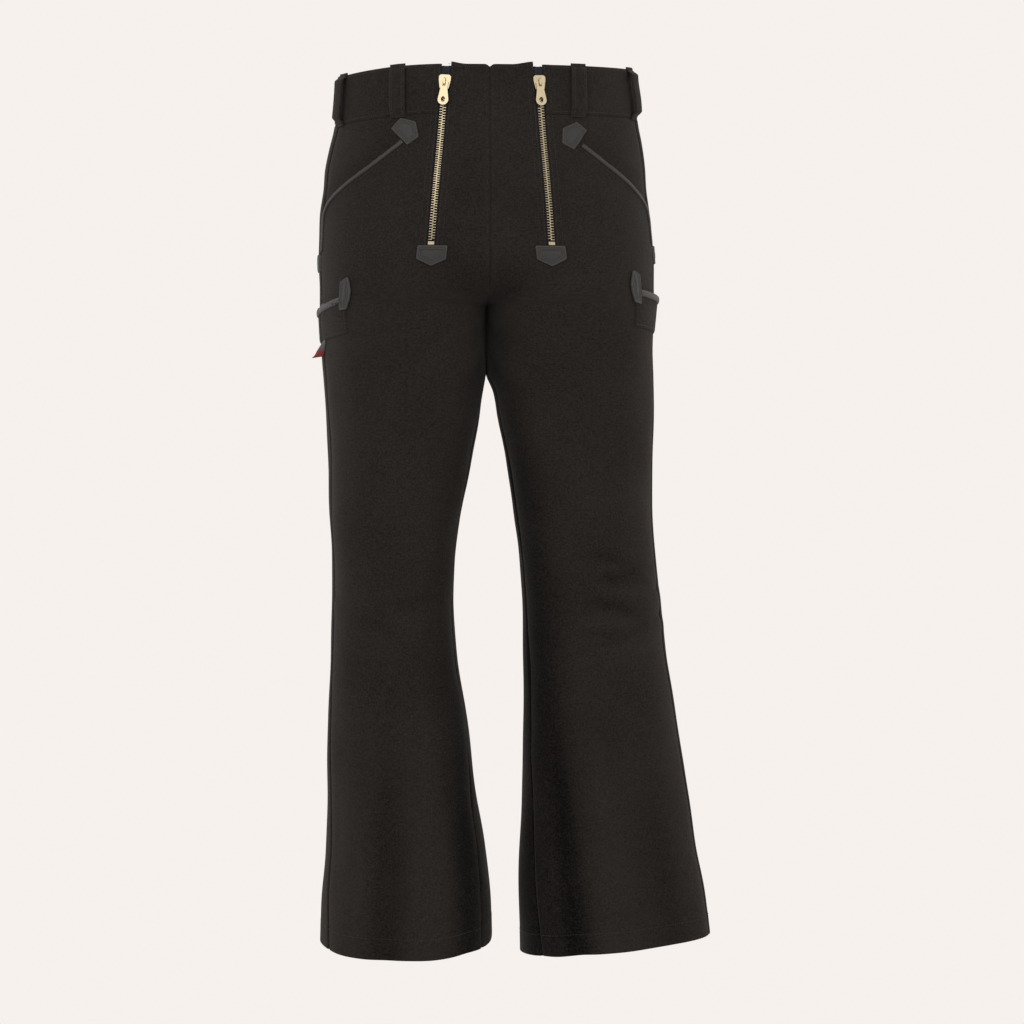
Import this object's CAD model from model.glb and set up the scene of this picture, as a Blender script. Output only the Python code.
"""Journeyman trousers, flared, with two front zips and leather piping, as worn with nobody in them.

The first part repeats the garment's surface from its own sizes, in millimetres, and the pieces are
then made on it and scaled to metres. +Z up, -Y the front, +X the wearer's left.
"""

import math

import bmesh
import bpy
import numpy as np
from mathutils import Matrix, Vector


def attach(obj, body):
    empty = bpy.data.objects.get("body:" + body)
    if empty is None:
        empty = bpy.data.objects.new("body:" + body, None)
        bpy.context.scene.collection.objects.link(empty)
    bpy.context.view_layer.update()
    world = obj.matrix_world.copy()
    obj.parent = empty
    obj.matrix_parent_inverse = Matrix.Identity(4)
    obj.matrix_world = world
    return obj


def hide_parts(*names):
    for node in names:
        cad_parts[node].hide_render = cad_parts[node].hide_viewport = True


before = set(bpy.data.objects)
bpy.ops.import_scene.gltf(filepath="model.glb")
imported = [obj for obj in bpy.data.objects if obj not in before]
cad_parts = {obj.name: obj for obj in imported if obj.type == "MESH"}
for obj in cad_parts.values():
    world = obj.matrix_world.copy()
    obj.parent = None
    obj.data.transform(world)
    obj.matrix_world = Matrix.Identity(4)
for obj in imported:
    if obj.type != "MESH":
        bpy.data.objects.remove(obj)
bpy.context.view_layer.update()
MM = 0.001
BODY = "trousers"
rng = np.random.default_rng(7)

# ---------- the garment's sizes, in millimetres ----------

FULLNESS = 2.15
BAND_HALF = 28.0
WAIST_SLOPE = 0.115
WAIST_SLOPE_END = -150.0
WAIST_DIP = {"right": 12.4, "left": 2.2}
WAIST_DIP_SPAN = (50.0, 168.0)
CROTCH_Z = -255.0
CROTCH_Y = 15.0
FRONT_CROTCH_START = -190.0
BACK_CROTCH_START = -140.0
CROTCH_POWER, CROTCH_SMALLEST = 0.5, 0.1
RIDGE_START = -30.0
RIDGE_END = -290.0
HEM_Z = -1027.0
HEM_TILT_START = -880.0
HEM_AXIS_Y = 20.0
INSEAM_SETTLES = 75.0  # from the crotch down to where the inseam has reached the leg's middle
TURNS_UNDER = {"front": 218.0, "back": 160.0}  # depths where the centre seam turns to the crotch
LEGS_PART = (322.0, 352.0)  # depths between which the touching thighs part
HEMS = {
    "right": dict(rise=6.5, middle=97.0, slope_x=0.0, slope_y=0.09),
    "left": dict(rise=-2.8, middle=157.0, slope_x=0.092, slope_y=-0.07),
}

# Hips: height, half widths on the wearer's right and left, front y and back y.
HIPS = [
    (46, 175, 174, -101, 104),
    (16, 176, 175, -103, 107),
    (-10, 178, 179, -106, 112),
    (-34, 181, 181, -109, 117),
    (-60, 187, 186, -112, 122),
    (-88, 192, 190, -115, 130),
    (-116, 194, 192, -118, 137),
    (-145, 198, 196, -119, 142),
    (-173, 199, 199, -120, 144),
    (-202, 200, 201, -119.5, 144.5),
    (-230, 199, 201, -118, 142.5),
]
# Legs: height, right outer and inner line, left outer and inner line, girth, y of the leg's middle.
LEGS = [
    (-262, 199, 0.6, 202, 0.6, 708, 11.5),
    (-302, 197, 0.6, 201, 0.6, 676, 9),
    (-326, 195, 0.7, 201.5, 0.7, 653, 7),
    (-335, 194.2, 0.8, 201.8, 0.8, 643, 6),
    (-356, 192.8, 3.6, 201.7, 9.5, 623, 4.6),
    (-388, 191, 8, 201, 14, 600, 3),
    (-445, 189, 20, 200, 24.5, 560, 0),
    (-503, 188, 31, 200, 33.5, 532, -3),
    (-547, 185, 36, 202, 39, 510, -4),
    (-610, 185, 40, 209, 43, 495, -6),
    (-677, 188, 35, 217, 45, 509, -3),
    (-736, 190.5, 25, 228, 45, 526, 1),
    (-794, 192, 17, 237, 44, 544, 6),
    (-853, 193.5, 11, 247.5, 43, 562, 10),
    (-911, 196, 2, 258, 41, 577, 14),
    (-970, 201, -4, 268.5, 41, 590, 18),
    (-1027, 202.5, -6.5, 275, 43, 603, 20),
    (-1050, 203, -7, 278, 44, 608, 21),
]
# Seams: height, then degrees forward of the side and inside, right leg then left leg.
SEAM_ANGLES = [
    (46, 14.5, 0, 14.5, 0),
    (-255, 14.5, 0, 14.5, 0),
    (-330, 15, 8, 15, 8),
    (-610, 16, 14, 16, 14),
    (-1050, 29, 31, 16, 39),
]

# Zips, as distances along the cloth from the centre front seam.
ZIP_TOP_Z, ZIP_END_Z = 31.0, -192.0
ZIP_TOP = {"right": 49.2, "left": 55.0}
ZIP_END = {"right": 67.8, "left": 69.8}
SLIT_HALF = 5.4
FLAP_CORNER_RISE = 3.0
FLAP_NOTCH = 2.5

# Front pocket mouth: distance from the centre front seam, and height.
MOUTH = [(109, -63.5), (143, -89), (184, -115), (219, -137.5), (236, -158)]
MOUTH_PIPING_START = {"right": -0.2, "left": 0.01}
MOUTH_PIPING_END = {"right": -192.0, "left": -181.0}
LOWER_PATCH_Z = {"right": -205.5, "left": -194.0}
POCKET_PATCH = {"right": (95.5, -46.2, 139), "left": (95.7, -52.3, 146)}
FLY_PATCH_Z, FLY_PATCH_BESIDE = -203.0, -1.8

# Ruler pocket: distances across the side seam, forward is negative.
RULER_FRONT, RULER_BACK = {"right": -72.0, "left": -68.0}, 72.0
RULER_TOP = dict(front=-247.0, right=15.0, left=8.0)
RULER_BOTTOM = dict(front=-289.0, right=10.5, left=8.0)
RULER_RISE = {"right": 0.0, "left": 9.0}
RULER_STAND = {"right": 0.6, "left": 2.6}
RULER_BASE = 0.3

CLOTH = 1.2  # thickness of the cloth as it shows at its folded edges
LEATHER = 1.6
SIDES = ("right", "left")
SIGN = {"right": -1.0, "left": 1.0}

# ---------- the garment's surface ----------


def smoothstep(value, low, high):
    t = np.clip((np.asarray(value, float) - low) / (high - low), 0.0, 1.0)
    return t * t * (3 - 2 * t)


def spline(heights, values):
    """Smooth curve through a table's column, read by height from the top down."""
    heights = np.asarray(heights, float)
    values = np.asarray(values, float)
    slopes = np.empty_like(values)
    slopes[1:-1] = (values[2:] - values[:-2]) / (heights[2:] - heights[:-2])
    slopes[0] = (values[1] - values[0]) / (heights[1] - heights[0])
    slopes[-1] = (values[-1] - values[-2]) / (heights[-1] - heights[-2])

    def at(z):
        i = int(np.clip(np.searchsorted(-heights, -z, side="right") - 1, 0, len(heights) - 2))
        step = heights[i + 1] - heights[i]
        t = min(max((z - heights[i]) / step, 0.0), 1.0)
        ends = (1 + 2 * t) * (1 - t) ** 2 * values[i] + t * t * (3 - 2 * t) * values[i + 1]
        return ends + step * (t * (1 - t) ** 2 * slopes[i] + t * t * (t - 1) * slopes[i + 1])

    return at


def side_curves(side):
    """The side's outer and inner lines, front and back, and seam angles, as curves of height."""
    k = SIDES.index(side)
    rows = [(h[0], h[1 + k], 0.0, h[3], h[4]) for h in HIPS]
    for leg in LEGS:
        outer, inner = leg[1 + 2 * k], leg[2 + 2 * k]
        depth = 2 * leg[5] / math.pi - (outer - inner)
        rows.append((leg[0], outer, inner, leg[6] - depth / 2, leg[6] + depth / 2))
    columns = list(zip(*rows))
    angles = list(zip(*SEAM_ANGLES))
    return dict(
        outer=spline(columns[0], columns[1]),
        inner=spline(columns[0], columns[2]),
        front=spline(columns[0], columns[3]),
        back=spline(columns[0], columns[4]),
        side_angle=spline(angles[0], angles[1 + 2 * k]),
        inseam_angle=spline(angles[0], angles[2 + 2 * k]),
    )


CURVES = {side: side_curves(side) for side in SIDES}


def crotch_curve(z, start, share):
    """How far the cloth has turned towards the crotch point; share is 1 at the centre seam."""
    t = min(max((start - z) / (start - CROTCH_Z), 0.0), 1.0)
    return 1 - (1 - t * t) ** (CROTCH_POWER / np.maximum(share, CROTCH_SMALLEST))


FRONT_STEPS, BACK_STEPS = 120, 160  # round a section, to the side seam and on from it


def section(side, z):
    """The section at level z: x, y, distance along the cloth and degrees round the leg."""
    c = CURVES[side]
    below = z <= CROTCH_Z
    outer, front, back = c["outer"](z), c["front"](z), c["back"](z)
    inner = c["inner"](z) if below else 0.0
    side_y = (front + back) / 2
    to_leg = 1 - float(smoothstep(z, RIDGE_END, RIDGE_START))
    ridge = max((outer + c["inner"](z)) / 2 * to_leg, inner)
    settled = float(smoothstep(CROTCH_Z - z, 0, INSEAM_SETTLES))
    inseam_y = CROTCH_Y + (side_y - CROTCH_Y) * settled

    def inner_y(face, start, share):
        if below:
            return face + (inseam_y - face) * share
        return face + (CROTCH_Y - face) * share * crotch_curve(z, start, share)

    inseam = max(c["inseam_angle"](z), 0.0) if below else 0.0
    seam = 180 - c["side_angle"](z)
    degrees = np.concatenate([np.linspace(inseam, seam, FRONT_STEPS + 1),
                              np.linspace(seam, 360 + inseam, BACK_STEPS + 1)[1:]])
    turned = np.where(degrees >= 360, degrees - 360, degrees)
    turned[-1] = turned[-1] if below and inseam > 0 else 360 - 1e-6
    quarter = np.floor(turned / 90).astype(int)
    angle = np.radians(turned - 90 * quarter)
    rise = np.maximum(np.sin(angle), 0) ** (2 / FULLNESS)
    fall = np.maximum(np.cos(angle), 0) ** (2 / FULLNESS)
    x = np.choose(quarter, [ridge - (ridge - inner) * fall, ridge + (outer - ridge) * rise,
                            ridge + (outer - ridge) * fall, ridge - (ridge - inner) * rise])
    y = np.choose(quarter, [
        inner_y(front, FRONT_CROTCH_START, 1 - rise), side_y - (side_y - front) * fall,
        side_y + (back - side_y) * rise, inner_y(back, BACK_CROTCH_START, 1 - fall)])
    length = np.concatenate([[0.0], np.cumsum(np.hypot(np.diff(x), np.diff(y)))])
    return x, y, length, degrees


def sampled(side):
    """The whole surface, level by level, so that many points can be read at once."""
    levels = list(np.arange(60.0, -1050.0, -1.5)) + [CROTCH_Z, CROTCH_Z - 0.02]
    for start in (FRONT_CROTCH_START, BACK_CROTCH_START):
        turns = np.linspace(0.05, math.pi / 2, 60)
        levels += list(start - (start - CROTCH_Z) * np.sin(turns))
    levels = np.unique(np.round(levels, 3))[::-1]
    share = np.linspace(0, 1, 481)
    xs, ys, angles, seams, lengths = [], [], [], [], []
    for z in levels:
        x, y, length, degrees = section(side, float(z))
        at = share * length[-1]
        xs.append(np.interp(at, length, x))
        ys.append(np.interp(at, length, y))
        angles.append(np.interp(at, length, degrees))
        seams.append(length[FRONT_STEPS])
        lengths.append(length[-1])
    return dict(z=levels, x=np.array(xs), y=np.array(ys), angle=np.array(angles),
                seam=np.array(seams), length=np.array(lengths))


SURFACE = {side: sampled(side) for side in SIDES}


def side_seam(side, z):
    """Distance along the cloth from the centre front seam to the side seam."""
    grid = SURFACE[side]
    return np.interp(-np.asarray(z, float), -grid["z"], grid["seam"])


def back_seam(side, z):
    grid = SURFACE[side]
    return np.interp(-np.asarray(z, float), -grid["z"], grid["length"])


def lift(side, z, x, y):
    """Real height of a level section's point: the waist rises to the back and sags at the sides."""
    waist = smoothstep(z, WAIST_SLOPE_END, -BAND_HALF)
    hem = 1 - smoothstep(z, HEM_Z, HEM_TILT_START)
    h = HEMS[side]
    slant = h["rise"] + h["slope_x"] * (x - h["middle"]) + h["slope_y"] * (y - HEM_AXIS_Y)
    start, end = WAIST_DIP_SPAN
    dip = WAIST_DIP[side] * np.clip((x - start) / (end - start), 0, 1) ** 2
    return z + waist * (WAIST_SLOPE * y - dip) + hem * slant


def surface(side, z, s):
    """Points of the outer face, from level and distance along the cloth from the front seam."""
    z, s = np.broadcast_arrays(np.asarray(z, float), np.asarray(s, float))
    grid = SURFACE[side]
    row = np.clip(np.searchsorted(-grid["z"], -z, side="right") - 1, 0, len(grid["z"]) - 2)
    down = np.clip((z - grid["z"][row]) / (grid["z"][row + 1] - grid["z"][row]), 0, 1)
    length = grid["length"][row] * (1 - down) + grid["length"][row + 1] * down
    place = np.clip(s / length, 0, 1) * (grid["x"].shape[1] - 1)
    column = np.minimum(place.astype(int), grid["x"].shape[1] - 2)
    along = place - column

    def read(values):
        upper = values[row, column] * (1 - along) + values[row, column + 1] * along
        lower = values[row + 1, column] * (1 - along) + values[row + 1, column + 1] * along
        return upper * (1 - down) + lower * down

    x, y = read(grid["x"]), read(grid["y"])
    return np.stack([SIGN[side] * x, y, lift(side, z, x, y)], axis=-1)
NORMAL_INSET, NORMAL_REACH = 7, 3  # normals at an edge are read inside it, over this reach


def outward(side, z, s):
    """Directions out of the cloth."""
    z, s = np.broadcast_arrays(np.asarray(z, float), np.asarray(s, float))
    s = np.clip(s, NORMAL_INSET, back_seam(side, z) - NORMAL_INSET)
    along = surface(side, z, s + NORMAL_REACH) - surface(side, z, s - NORMAL_REACH)
    up = surface(side, z + 1, s) - surface(side, z - 1, s)
    normal = np.cross(along, up) * SIGN[side]
    return normal / np.linalg.norm(normal, axis=-1, keepdims=True)


# ---------- folds, seams and creases of the cloth ----------

# Troughs: distance and height of both ends, width, depth, bow and ridge beside it.
CREASES = {
    "right": [
        (60, -596, 120, -606, 10, 1.2, 3, 0.5),
        (92, -634, 150, -624, 10, 1.1, -3, 0.5),
        (174, -600, 202, -594, 6, 1.2, 2, 0.6),
        (24, -268, 84, -300, 12, 1.2, 6, 0.4),
        (30, -300, 70, -360, 13, 1.0, 6, 0.4),
        (300, -560, 372, -578, 9, 2.6, 6, 0.6),
        (320, -604, 402, -592, 10, 3.0, -6, 0.6),
        (296, -640, 366, -652, 9, 2.0, 5, 0.5),
        (560, -288, 630, -262, 12, 2.6, -6, 0.5),
        (500, -330, 620, -300, 15, 2.2, 8, 0.5),
        (430, -360, 560, -352, 16, 1.6, -8, 0.4),
    ],
    "left": [
        (104, -548, 150, -556, 7, 1.6, -3, 0.5),
        (112, -574, 166, -566, 8, 2.2, 4, 0.5),
        (96, -604, 158, -622, 9, 2.4, -5, 0.6),
        (108, -642, 172, -630, 8, 1.8, 4, 0.5),
        (176, -566, 206, -560, 6, 1.8, 2, 0.6),
        (178, -596, 212, -588, 6, 2.0, 2, 0.6),
        (182, -628, 214, -622, 6, 1.8, -2, 0.6),
        (24, -268, 84, -300, 12, 1.2, 6, 0.4),
        (28, -304, 66, -360, 13, 1.0, 6, 0.4),
        (300, -566, 380, -584, 9, 2.8, -6, 0.6),
        (316, -612, 396, -600, 10, 3.0, 6, 0.6),
        (300, -648, 372, -660, 9, 2.0, 5, 0.5),
        (560, -290, 634, -264, 12, 2.6, -6, 0.5),
        (505, -334, 622, -304, 15, 2.2, 8, 0.5),
        (430, -364, 560, -356, 16, 1.6, -8, 0.4),
    ],
}

# Upright flutes of the legs: share of the way round, heights, width at the hem, depth.
FLUTES = {
    "right": [
        (0.045, -640, -1027, 16, 2.6),
        (0.125, -690, -1027, 20, -3.2),
        (0.215, -660, -1027, 18, 3.4),
        (0.30, -700, -1027, 20, -2.4),
        (0.47, -690, -1027, 26, 3.4),
        (0.60, -660, -1027, 26, -3.2),
        (0.74, -690, -1027, 26, 3.6),
        (0.88, -680, -1027, 24, -2.6),
    ],
    "left": [
        (0.035, -640, -1027, 14, -2.0),
        (0.085, -660, -1027, 14, 3.0),
        (0.17, -690, -1027, 22, -2.2),
        (0.27, -700, -1027, 20, 1.6),
        (0.46, -690, -1027, 26, 3.2),
        (0.59, -660, -1027, 26, -3.0),
        (0.73, -700, -1027, 26, 3.4),
        (0.87, -680, -1027, 24, -2.4),
    ],
}


def zip_line(side, z):
    """Distance of the zip's line from the centre seam, carried on below its end."""
    z = np.asarray(z, float)
    share = (z - ZIP_TOP_Z) / (ZIP_END_Z - ZIP_TOP_Z)
    straight = ZIP_TOP[side] + share * (ZIP_END[side] - ZIP_TOP[side])
    below = side_seam(side, z) - side_seam(side, ZIP_END_Z) + ZIP_END[side]
    return np.where(z > ZIP_END_Z, straight, below)


def mouth_z(s):
    return np.interp(s, [row[0] for row in MOUTH], [row[1] for row in MOUTH])


def bump(distance, width):
    return np.exp(-np.square(distance / width))


def folds(side, z, s):
    """How far the creases and flutes stand off, in millimetres."""
    length = back_seam(side, z)
    rise = np.zeros(z.shape)
    for s1, z1, s2, z2, width, depth, bow, ridge in CREASES[side]:
        reach = math.hypot(s2 - s1, z2 - z1)
        along = ((s - s1) * (s2 - s1) + (z - z1) * (z2 - z1)) / reach
        across = ((s - s1) * (z2 - z1) - (z - z1) * (s2 - s1)) / reach
        share = along / reach
        across = across - bow * (1 - np.square(2 * share - 1))
        ends = smoothstep(share, -0.25, 0.3) * (1 - smoothstep(share, 0.6, 1.3))
        beside = ridge * bump(across - 2.1 * width, 1.5 * width)
        rise += ends * depth * (beside - bump(across, width))
    for share, top, bottom, width, depth in FLUTES[side]:
        fade = smoothstep(-z, -top, -top + 0.75 * (top - bottom))
        rise -= fade * depth * bump(s - share * length, width * (0.5 + 0.5 * fade))
    return rise


def relief(side, z, s):
    """How far the cloth stands off its smooth form, in millimetres."""
    z, s = np.broadcast_arrays(np.asarray(z, float), np.asarray(s, float))
    seam, length = side_seam(side, z), back_seam(side, z)
    leg = 1 - smoothstep(z, -330, -180)
    below_band = z < -BAND_HALF
    beside = s - seam
    rise = folds(side, z, s)
    wave = (0.9 * np.sin(beside / 31 + z / 83 + 1.3) * np.sin(z / 57 + 0.6 * SIGN[side])
            + 0.6 * np.sin(beside / 17 - z / 61 + 2.1 * SIGN[side]) * np.sin(z / 39 + beside / 95)
            + 0.35 * np.sin(beside / 9.5 + z / 29) * np.sin(z / 23 - beside / 41 + 1.1))
    rise += wave * (0.25 + 0.75 * leg)
    # The side seam is a groove, with its allowance pressed to the back.
    rise -= 1.3 * bump(beside, 1.5) * below_band + 0.5 * bump(beside, 7)
    rise += 0.45 * smoothstep(beside, 0, 1.5) * (1 - smoothstep(beside, 8, 10)) * below_band
    # The centre seams and inseams draw the cloth in, and meet where the thighs touch.
    edge = np.minimum(s, length - s)
    turning = np.where(s > seam, TURNS_UNDER["back"], TURNS_UNDER["front"])
    touching = smoothstep(-z, turning, turning + 20) * (1 - smoothstep(-z, *LEGS_PART))
    rise -= (1 - touching) * (1.5 * bump(edge, 1.5) + 0.6 * bump(edge, 6) * leg)
    rise += 0.7 * touching * bump(edge, 18)
    # The cloth beside a zip is doubled, and rolls into the slit.
    beside_slit = np.abs(s - zip_line(side, z)) - SLIT_HALF
    on_fly = z > ZIP_END_Z - 4
    rise += on_fly * 0.55 * (1 - smoothstep(beside_slit, 6.5, 8.5))
    rise -= on_fly * 0.7 * bump(beside_slit, 0.7)
    # The pocket's mouth is doubled, and the hip behind it lies lower.
    mouth = z - mouth_z(s)
    on_mouth = smoothstep(s, 104, 110) * (s < seam)
    rise -= on_mouth * 2.0 * smoothstep(mouth, 0.0, 1.2) * (1 - smoothstep(mouth, 3, 26))
    rise += on_mouth * 0.5 * (1 - smoothstep(-mouth, 4, 12)) * (mouth <= 0)
    # The waistband's seam is drawn in a little, and the hem is doubled.
    rise -= 0.15 * bump(z + BAND_HALF, 5) * (s > zip_line(side, z))
    rise += 0.3 * (1 - smoothstep(z - HEM_Z, 24, 26))
    return rise


NAP_DEPTH = {"right": 0.52, "left": 0.78}  # how much darker the cloth is along the inner legs


def nap(side, z, s):
    """How much the brushed cloth is lighter, or darker in troughs and along the inner legs."""
    edge = np.minimum(s, back_seam(side, z) - s)
    inner = smoothstep(-z, 200, 310) * (1 - smoothstep(edge, 18, 84))
    return np.clip(0.15 * folds(side, z, s), -0.34, 0.2) - NAP_DEPTH[side] * inner


def cloth_at(side, z, s, out=0.0):
    """Points standing off the cloth with its folds."""
    stand = np.asarray(out, float) + relief(side, z, s)
    return surface(side, z, s) + outward(side, z, s) * stand[..., None]


# ---------- meshes ----------


def make_object(name, points, faces, material, smooth=True):
    mesh = bpy.data.meshes.new(name)
    mesh.from_pydata([tuple(p) for p in np.asarray(points) * MM], [], faces)
    mesh.validate()
    obj = bpy.data.objects.new(name, mesh)
    bpy.context.scene.collection.objects.link(obj)
    mesh.materials.append(material)
    mesh.polygons.foreach_set("use_smooth", np.full(len(mesh.polygons), smooth))
    return obj


def finish_piece(obj, nodes=(), body=BODY):
    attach(obj, body)
    if nodes:
        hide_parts(*nodes)


def paint(obj, name, values):
    """A point attribute that a material reads."""
    layer = obj.data.attributes.new(name, "FLOAT", "POINT")
    layer.data.foreach_set("value", np.ascontiguousarray(values, dtype=np.float32).ravel())


def shell(name, side, z, s, out, thickness, material, keep=None, **attributes):
    """A folded-edge sheet lying on the cloth: grids of level, distance and stand-off."""
    z, s = np.broadcast_arrays(z, s)
    out = np.broadcast_to(np.asarray(out, float), z.shape)
    outer = cloth_at(side, z, s, out)
    inner = cloth_at(side, z, s, out - thickness)
    return wall(name, side, outer, inner, s * SIGN[side], z, material, keep, **attributes)


def wall(name, side, outer, inner, u, v, material, keep=None, **attributes):
    """A closed sheet between two grids of points, without the cells that keep leaves out."""
    shape = rows, columns = outer.shape[:2]
    keep = np.ones((rows - 1, columns - 1), bool) if keep is None else keep
    index = np.arange(rows * columns).reshape(shape)
    second = rows * columns
    i, j = np.nonzero(keep)
    a, b, c, d = index[i, j], index[i + 1, j], index[i + 1, j + 1], index[i, j + 1]
    faces = [np.stack([a, b, c, d], 1), np.stack([d, c, b, a], 1) + second]
    padded = np.pad(keep, 1)
    for di, dj, first, last in ((-1, 0, (0, 1), (0, 0)), (1, 0, (1, 0), (1, 1)),
                                (0, -1, (0, 0), (1, 0)), (0, 1, (1, 1), (0, 1))):
        open_side = ~padded[i + 1 + di, j + 1 + dj]
        ii, jj = i[open_side], j[open_side]
        p, q = index[ii + first[0], jj + first[1]], index[ii + last[0], jj + last[1]]
        faces.append(np.stack([q, p, p + second, q + second], 1))
    faces = np.concatenate(faces)
    if SIGN[side] < 0:
        faces = faces[:, ::-1]
    used, flat = np.unique(faces, return_inverse=True)
    points = np.concatenate([outer.reshape(-1, 3), inner.reshape(-1, 3)])[used]
    obj = make_object(name, points, flat.reshape(-1, 4).tolist(), material)
    uv = np.stack([np.broadcast_to(u, shape), np.broadcast_to(v, shape)], -1)
    uv = np.concatenate([uv.reshape(-1, 2)] * 2)[used] * MM
    layer = obj.data.uv_layers.new(name="UVMap")
    corners = np.empty(len(obj.data.loops), int)
    obj.data.loops.foreach_get("vertex_index", corners)
    layer.data.foreach_set("uv", uv[corners].astype(np.float32).ravel())
    for key, values in attributes.items():
        paint(obj, key, np.tile(np.broadcast_to(values, shape).ravel(), 2)[used])
    return obj


def cloth_area(z, s, keep=None):
    """Flat area of a sheet in square metres, from its grids of level and distance."""
    a = (z[:-1] - z[1:]) * MM
    b = (s[:, 1:] - s[:, :-1]) * MM
    cells = np.abs((a[:, 1:] + a[:, :-1]) / 2 * (b[1:] + b[:-1]) / 2)
    return float(cells.sum() if keep is None else cells[keep].sum())


EDGE_STEPS = np.array([0, 0.6, 1.3, 2.3, 3.6])


def between(start, end, cells, fine=True):
    """Positions from start to end, arrays of one value per row, with fine steps at both ends."""
    start, end = np.asarray(start, float)[:, None], np.asarray(end, float)[:, None]
    if not fine:
        return start + (end - start) * np.linspace(0, 1, cells + 1)
    edges = np.sign(end - start) * EDGE_STEPS
    low, high = start + edges[:, -1:], end - edges[:, -1:]
    middle = low + (high - low) * np.linspace(0, 1, cells + 1)[1:-1]
    return np.concatenate([start + edges, middle, end - edges[:, ::-1]], 1)


# ---------- materials ----------


def node(tree, kind, inputs=None, output=0, **settings):
    """The output of a new node, whose inputs are linked to sockets or set to values."""
    made = tree.nodes.new("ShaderNode" + kind)
    for key, value in settings.items():
        setattr(made, key, value)
    for key, value in (inputs or {}).items():
        if isinstance(value, bpy.types.NodeSocket):
            tree.links.new(value, made.inputs[key])
        else:
            made.inputs[key].default_value = value
    return made.outputs[output]


def math_node(tree, operation, a, b=0.0):
    return node(tree, "Math", {0: a, 1: b}, operation=operation)


def attribute(tree, name):
    return node(tree, "Attribute", output="Fac", attribute_name=name)


def coordinates(tree, flat, scale):
    """Millimetres along the cloth, or in space, times scale."""
    source = (node(tree, "UVMap", uv_map="UVMap") if flat
              else node(tree, "TexCoord", output="Object"))
    factors = [1000 * f for f in (scale if isinstance(scale, tuple) else (scale,) * 3)]
    return node(tree, "Mapping", {"Vector": source, "Scale": factors})


def noise(tree, flat, scale, detail=2, roughness=0.5):
    return node(tree, "TexNoise", {"Vector": coordinates(tree, flat, scale), "Scale": 1.0,
                                   "Detail": detail, "Roughness": roughness})


def weighted(tree, base, *terms):
    """base plus each weight times its value less its middle."""
    total = base
    for value, weight, middle in terms:
        part = math_node(tree, "MULTIPLY", math_node(tree, "SUBTRACT", value, middle), weight)
        total = math_node(tree, "ADD", total, part)
    return total


def grain(tree, flat, base, *layers):
    """base plus layers of noise, each a weight, then a scale, a detail and a roughness."""
    noises = [(noise(tree, flat, *rest), weight, 0.5) for weight, *rest in layers]
    return weighted(tree, base, *noises)


def worn(tree, flat, scale, weight):
    """The uneven lighter line along worn edges, as a term of a weighted sum."""
    uneven = noise(tree, flat, scale, 3)
    return math_node(tree, "MULTIPLY", attribute(tree, "wear"), uneven), weight, 0.0


def rib(tree, *terms):
    """A wave across the cloth: each term is an axis, 0 or 1, and its radians to the millimetre."""
    axes = node(tree, "SeparateXYZ", {0: coordinates(tree, True, 1.0)}).node.outputs
    slopes = [math_node(tree, "MULTIPLY", axes[axis], slope) for axis, slope in terms]
    total = slopes[0] if len(slopes) == 1 else math_node(tree, "ADD", *slopes)
    return math_node(tree, "SINE", total)


def surface_material(name, color, shade, rough, height, depth, **shader):
    """color times shade, with roughness, and a bump of height at depth millimetres."""
    mat = bpy.data.materials.new(name)
    mat.use_nodes = True
    tree = mat.node_tree
    inputs = tree.nodes["Principled BSDF"].inputs
    shaded = node(tree, "VectorMath", {0: color, "Scale": shade(tree)}, operation="SCALE")
    uneven = node(tree, "Bump", {"Height": height(tree), "Distance": depth * MM, "Strength": 1.0})
    tree.links.new(shaded, inputs["Base Color"])
    tree.links.new(rough(tree), inputs["Roughness"])
    tree.links.new(uneven, inputs["Normal"])
    for key, value in shader.items():
        inputs[key.replace("_", " ")].default_value = value
    return mat


def cloth_material(name, color):
    def shade(tree):
        weave = grain(tree, True, 1.0, (0.6, 0.011, 3), (0.5, 0.09, 4, 0.6),
                      (0.8, (0.7, 0.12, 1)), (0.7, (0.12, 0.7, 1)), (1.9, 0.42))
        return weighted(tree, weave, (attribute(tree, "nap"), 1.0, 0.0), worn(tree, True, 0.6, 0.6))

    def height(tree):
        fuzz = grain(tree, True, 0.5, (0.8, 2.4), (0.8, (0.5, 0.12, 1), 3))
        twill, warp = rib(tree, (0, 9.4), (1, 7.1)), rib(tree, (0, 15.7))
        return weighted(tree, fuzz, (twill, 0.22, 0.0), (warp, 0.12, 0.0))

    return surface_material(
        name, color, shade, lambda tree: grain(tree, True, 0.92, (0.12, 0.2, 3)), height, 0.11,
        Sheen_Weight=0.05, Sheen_Roughness=0.5, Sheen_Tint=(1.0, 0.93, 0.86, 1),
        Specular_IOR_Level=0.08)


def leather_material(name, color):
    def shade(tree):
        hide = grain(tree, False, 1.0, (0.5, 0.12, 4, 0.6), (0.45, 0.9, 3, 0.6))
        return weighted(tree, hide, worn(tree, False, 0.5, 1.5))

    def height(tree):
        cells = node(tree, "TexVoronoi", {"Vector": coordinates(tree, False, 1.4), "Scale": 1.0})
        hide = grain(tree, False, 0.5, (0.5, 4.0, 3), (1.0, 0.4, 3))
        return weighted(tree, hide, (cells, 0.5, 0.5))

    return surface_material(
        name, color, shade, lambda tree: grain(tree, False, 0.6, (0.3, 0.5, 3)), height, 0.16,
        Sheen_Weight=0.05, Sheen_Roughness=0.6, Specular_IOR_Level=0.35)


def brass_material(name, color):
    return surface_material(
        name, color,
        lambda tree: grain(tree, False, 1.0, (0.3, 0.35, 3), (0.2, 2.5)),
        lambda tree: grain(tree, False, 0.32, (0.25, 0.8, 3, 0.6)),
        lambda tree: noise(tree, False, (6.0, 6.0, 1.2)), 0.012, Metallic=1.0)


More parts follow.
